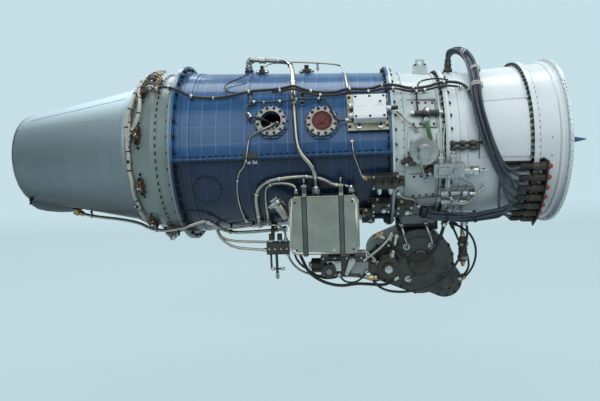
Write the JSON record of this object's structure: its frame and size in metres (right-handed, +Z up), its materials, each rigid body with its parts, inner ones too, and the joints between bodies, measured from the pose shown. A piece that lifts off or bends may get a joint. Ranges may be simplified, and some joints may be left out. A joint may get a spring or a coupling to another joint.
{
  "type": "jet engine",
  "caption": "Small twin-spool turbofan: blue bypass duct, flared jet pipe, spinner and fan, shaft-driven gearbox below, oil tank, harnesses and pipes on the near side.",
  "frame": {"origin": "centre of the intake flange's front face", "axes": "+X forward along the engine axis, out of the intake; +Z up; the dressed side with tank and harnesses faces -Y"},
  "size_m": [2.078, 0.678, 0.8833],
  "materials": {
    "grey_enamel": "pale grey enamel, satin",
    "white_enamel": "white enamel, satin",
    "blue_enamel": "blue enamel, glossy",
    "spinner_blue": "blue-violet enamel, satin",
    "pipe_grey": "matt grey heat-resisting paint",
    "casing_steel": "satin",
    "core_steel": "heat-tinted, satin",
    "bearing_steel": "ground",
    "blade_metal": "polished",
    "turbine_metal": "heat-tinted",
    "dark_fastener": "dark phosphate",
    "tank_steel": "satin, slightly smeared",
    "pipe_steel": "drawn tube, satin",
    "cast_alloy": "cast, matt",
    "bright_alloy": "machined",
    "exciter_grey": "pale grey paint",
    "khaki_plate": "khaki conversion coat",
    "igniter_steel": "plated",
    "fuel_brass": "satin",
    "dark_panel": "dark grey paint",
    "red_cap": "moulded",
    "harness_sleeve": "woven sleeve over rubber",
    "cable_black": "matt",
    "white_sleeve": "braided glass sleeve",
    "brown_boss": "brown primer"
  },
  "bodies": {
    "engine": {"intake_case": "grey_enamel", "fan_case": "white_enamel", "fan_stator": "casing_steel", "intermediate_case": "white_enamel", "bypass_duct_upper": "blue_enamel", "bypass_duct_lower": "blue_enamel", "rear_case": "casing_steel", "jet_pipe": "pipe_grey", "exhaust_mixer": "core_steel", "tail_cone": "core_steel", "compressor_case": "core_steel", "combustor_case": "core_steel", "combustor_liner": "core_steel", "fuel_manifold": "fuel_brass", "turbine_case": "core_steel", "exhaust_frame": "core_steel", "bearings": "bearing_steel", "flange_bolts": "dark_fastener", "port_rings": "casing_steel", "port_blank": "red_cap", "igniter": "igniter_steel", "exciter_box": "exciter_grey", "exciter_bracket": "khaki_plate", "oil_tank": "tank_steel", "tank_straps": "dark_fastener", "filler_neck": "tank_steel", "gearbox_case": "cast_alloy", "gearbox_cover": "cast_alloy", "starter_generator": "cast_alloy", "fuel_pump": "cast_alloy", "fuel_control": "cast_alloy", "trunnions": "bright_alloy", "connector_panel": "dark_panel", "connector_caps": "red_cap", "upper_harness": "harness_sleeve", "lower_harness": "harness_sleeve", "probe_harness": "white_sleeve", "probe_bosses": "brown_boss", "main_cable": "cable_black", "ignition_leads": "cable_black", "breather_pipe": "pipe_steel", "oil_pipes": "pipe_steel", "drain_pipe": "pipe_steel", "sense_lines": "pipe_steel", "valve_block": "cast_alloy", "servo_unit": "bright_alloy", "drain_mast": "cast_alloy"},
    "fan_spool": {"spinner": "spinner_blue", "fan_rotor": "blade_metal", "fan_shaft": "bearing_steel", "fan_turbine": "turbine_metal"},
    "core_spool": {"core_compressor": "blade_metal", "core_shaft": "bearing_steel", "core_turbine": "turbine_metal"},
    "tower": {"tower_shaft": "bearing_steel"},
    "gear_drive": {"drive_gear": "bearing_steel"},
    "pump_drive": {"pump_gear": "bearing_steel"},
    "scavenge_drive": {"scavenge_gear": "bearing_steel"},
    "lever": {"throttle_lever": "bright_alloy"},
    "cap": {"filler_cap": "tank_steel"}
  },
  "joints": [
    {"name": "core_spin", "type": "hinge", "parent": "engine", "child": "core_spool", "pos_m": [-0.7, 0, 0], "axis": [1, 0, 0], "continuous": true},
    {"name": "fan_spin", "type": "hinge", "parent": "engine", "child": "fan_spool", "pos_m": [-0.7, 0, 0], "axis": [1, 0, 0], "continuous": true},
    {"name": "tower_spin", "type": "hinge", "parent": "engine", "child": "tower", "pos_m": [-0.455, 0, -0.23], "axis": [0, 0, 1], "continuous": true},
    {"name": "drive_spin", "type": "hinge", "parent": "engine", "child": "gear_drive", "pos_m": [-0.455, 0, -0.41], "axis": [0, -1, 0], "continuous": true},
    {"name": "pump_spin", "type": "hinge", "parent": "engine", "child": "pump_drive", "pos_m": [-0.575, 0, -0.41], "axis": [0, -1, 0], "continuous": true},
    {"name": "scavenge_spin", "type": "hinge", "parent": "engine", "child": "scavenge_drive", "pos_m": [-0.3692, 0, -0.48199], "axis": [0, -1, 0], "continuous": true},
    {"name": "lever_turn", "type": "hinge", "parent": "engine", "child": "lever", "pos_m": [-0.7, -0.203, -0.376], "axis": [0, -1, 0], "range_deg": [0, 70]},
    {"name": "cap_hinge", "type": "hinge", "parent": "engine", "child": "cap", "pos_m": [-0.96714, -0.3, -0.16642], "axis": [0, -1, 0], "range_deg": [0, 100]}
  ],
  "couplings": [
    {"joint": "tower_spin", "follows": "core_spin", "ratio": -1.3333},
    {"joint": "drive_spin", "follows": "core_spin", "ratio": -1},
    {"joint": "pump_spin", "follows": "core_spin", "ratio": 1.5},
    {"joint": "scavenge_spin", "follows": "core_spin", "ratio": 1.8}
  ]
}
